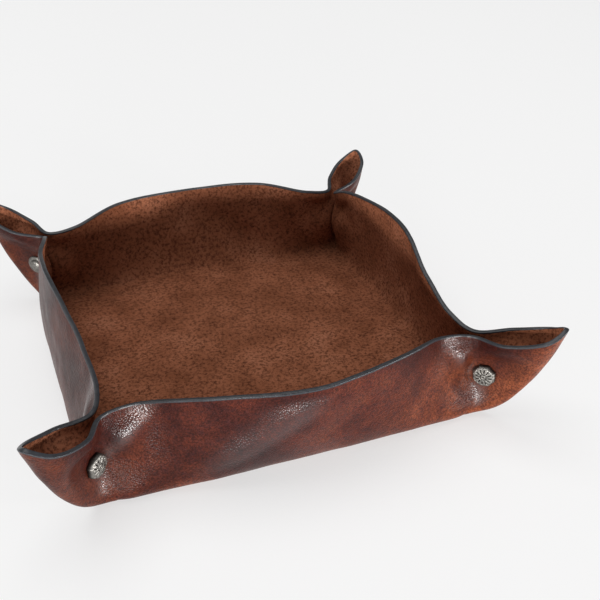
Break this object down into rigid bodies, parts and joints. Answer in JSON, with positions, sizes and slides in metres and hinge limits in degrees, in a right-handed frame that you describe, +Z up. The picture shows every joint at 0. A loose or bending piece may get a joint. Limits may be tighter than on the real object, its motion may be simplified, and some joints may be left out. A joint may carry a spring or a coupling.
{
  "type": "valet tray",
  "caption": "Square leather valet tray with low flared walls, its corners pinched into open ears and held by rivets with faceted decorative heads.",
  "frame": {"origin": "on the surface the tray stands on, under the middle of its floor", "axes": "+Z up; the two end walls, which carry the rivet heads, face -Y and +Y; the two side walls, which carry the burrs, face -X and +X"},
  "size_m": [0.181, 0.181, 0.046],
  "materials": {
    "leather": "burnished burgundy-brown grain outside, matt brown flesh side inside, dark painted edge",
    "rivet_metal": "dark antiqued pewter-grey metal, bright on the high spots"
  },
  "bodies": {
    "root": {"leather_sheet": "leather", "front_left_rivet": "rivet_metal", "front_right_rivet": "rivet_metal", "back_left_rivet": "rivet_metal", "back_right_rivet": "rivet_metal", "front_left_burr": "rivet_metal", "front_right_burr": "rivet_metal", "back_left_burr": "rivet_metal", "back_right_burr": "rivet_metal"}
  },
  "joints": []
}
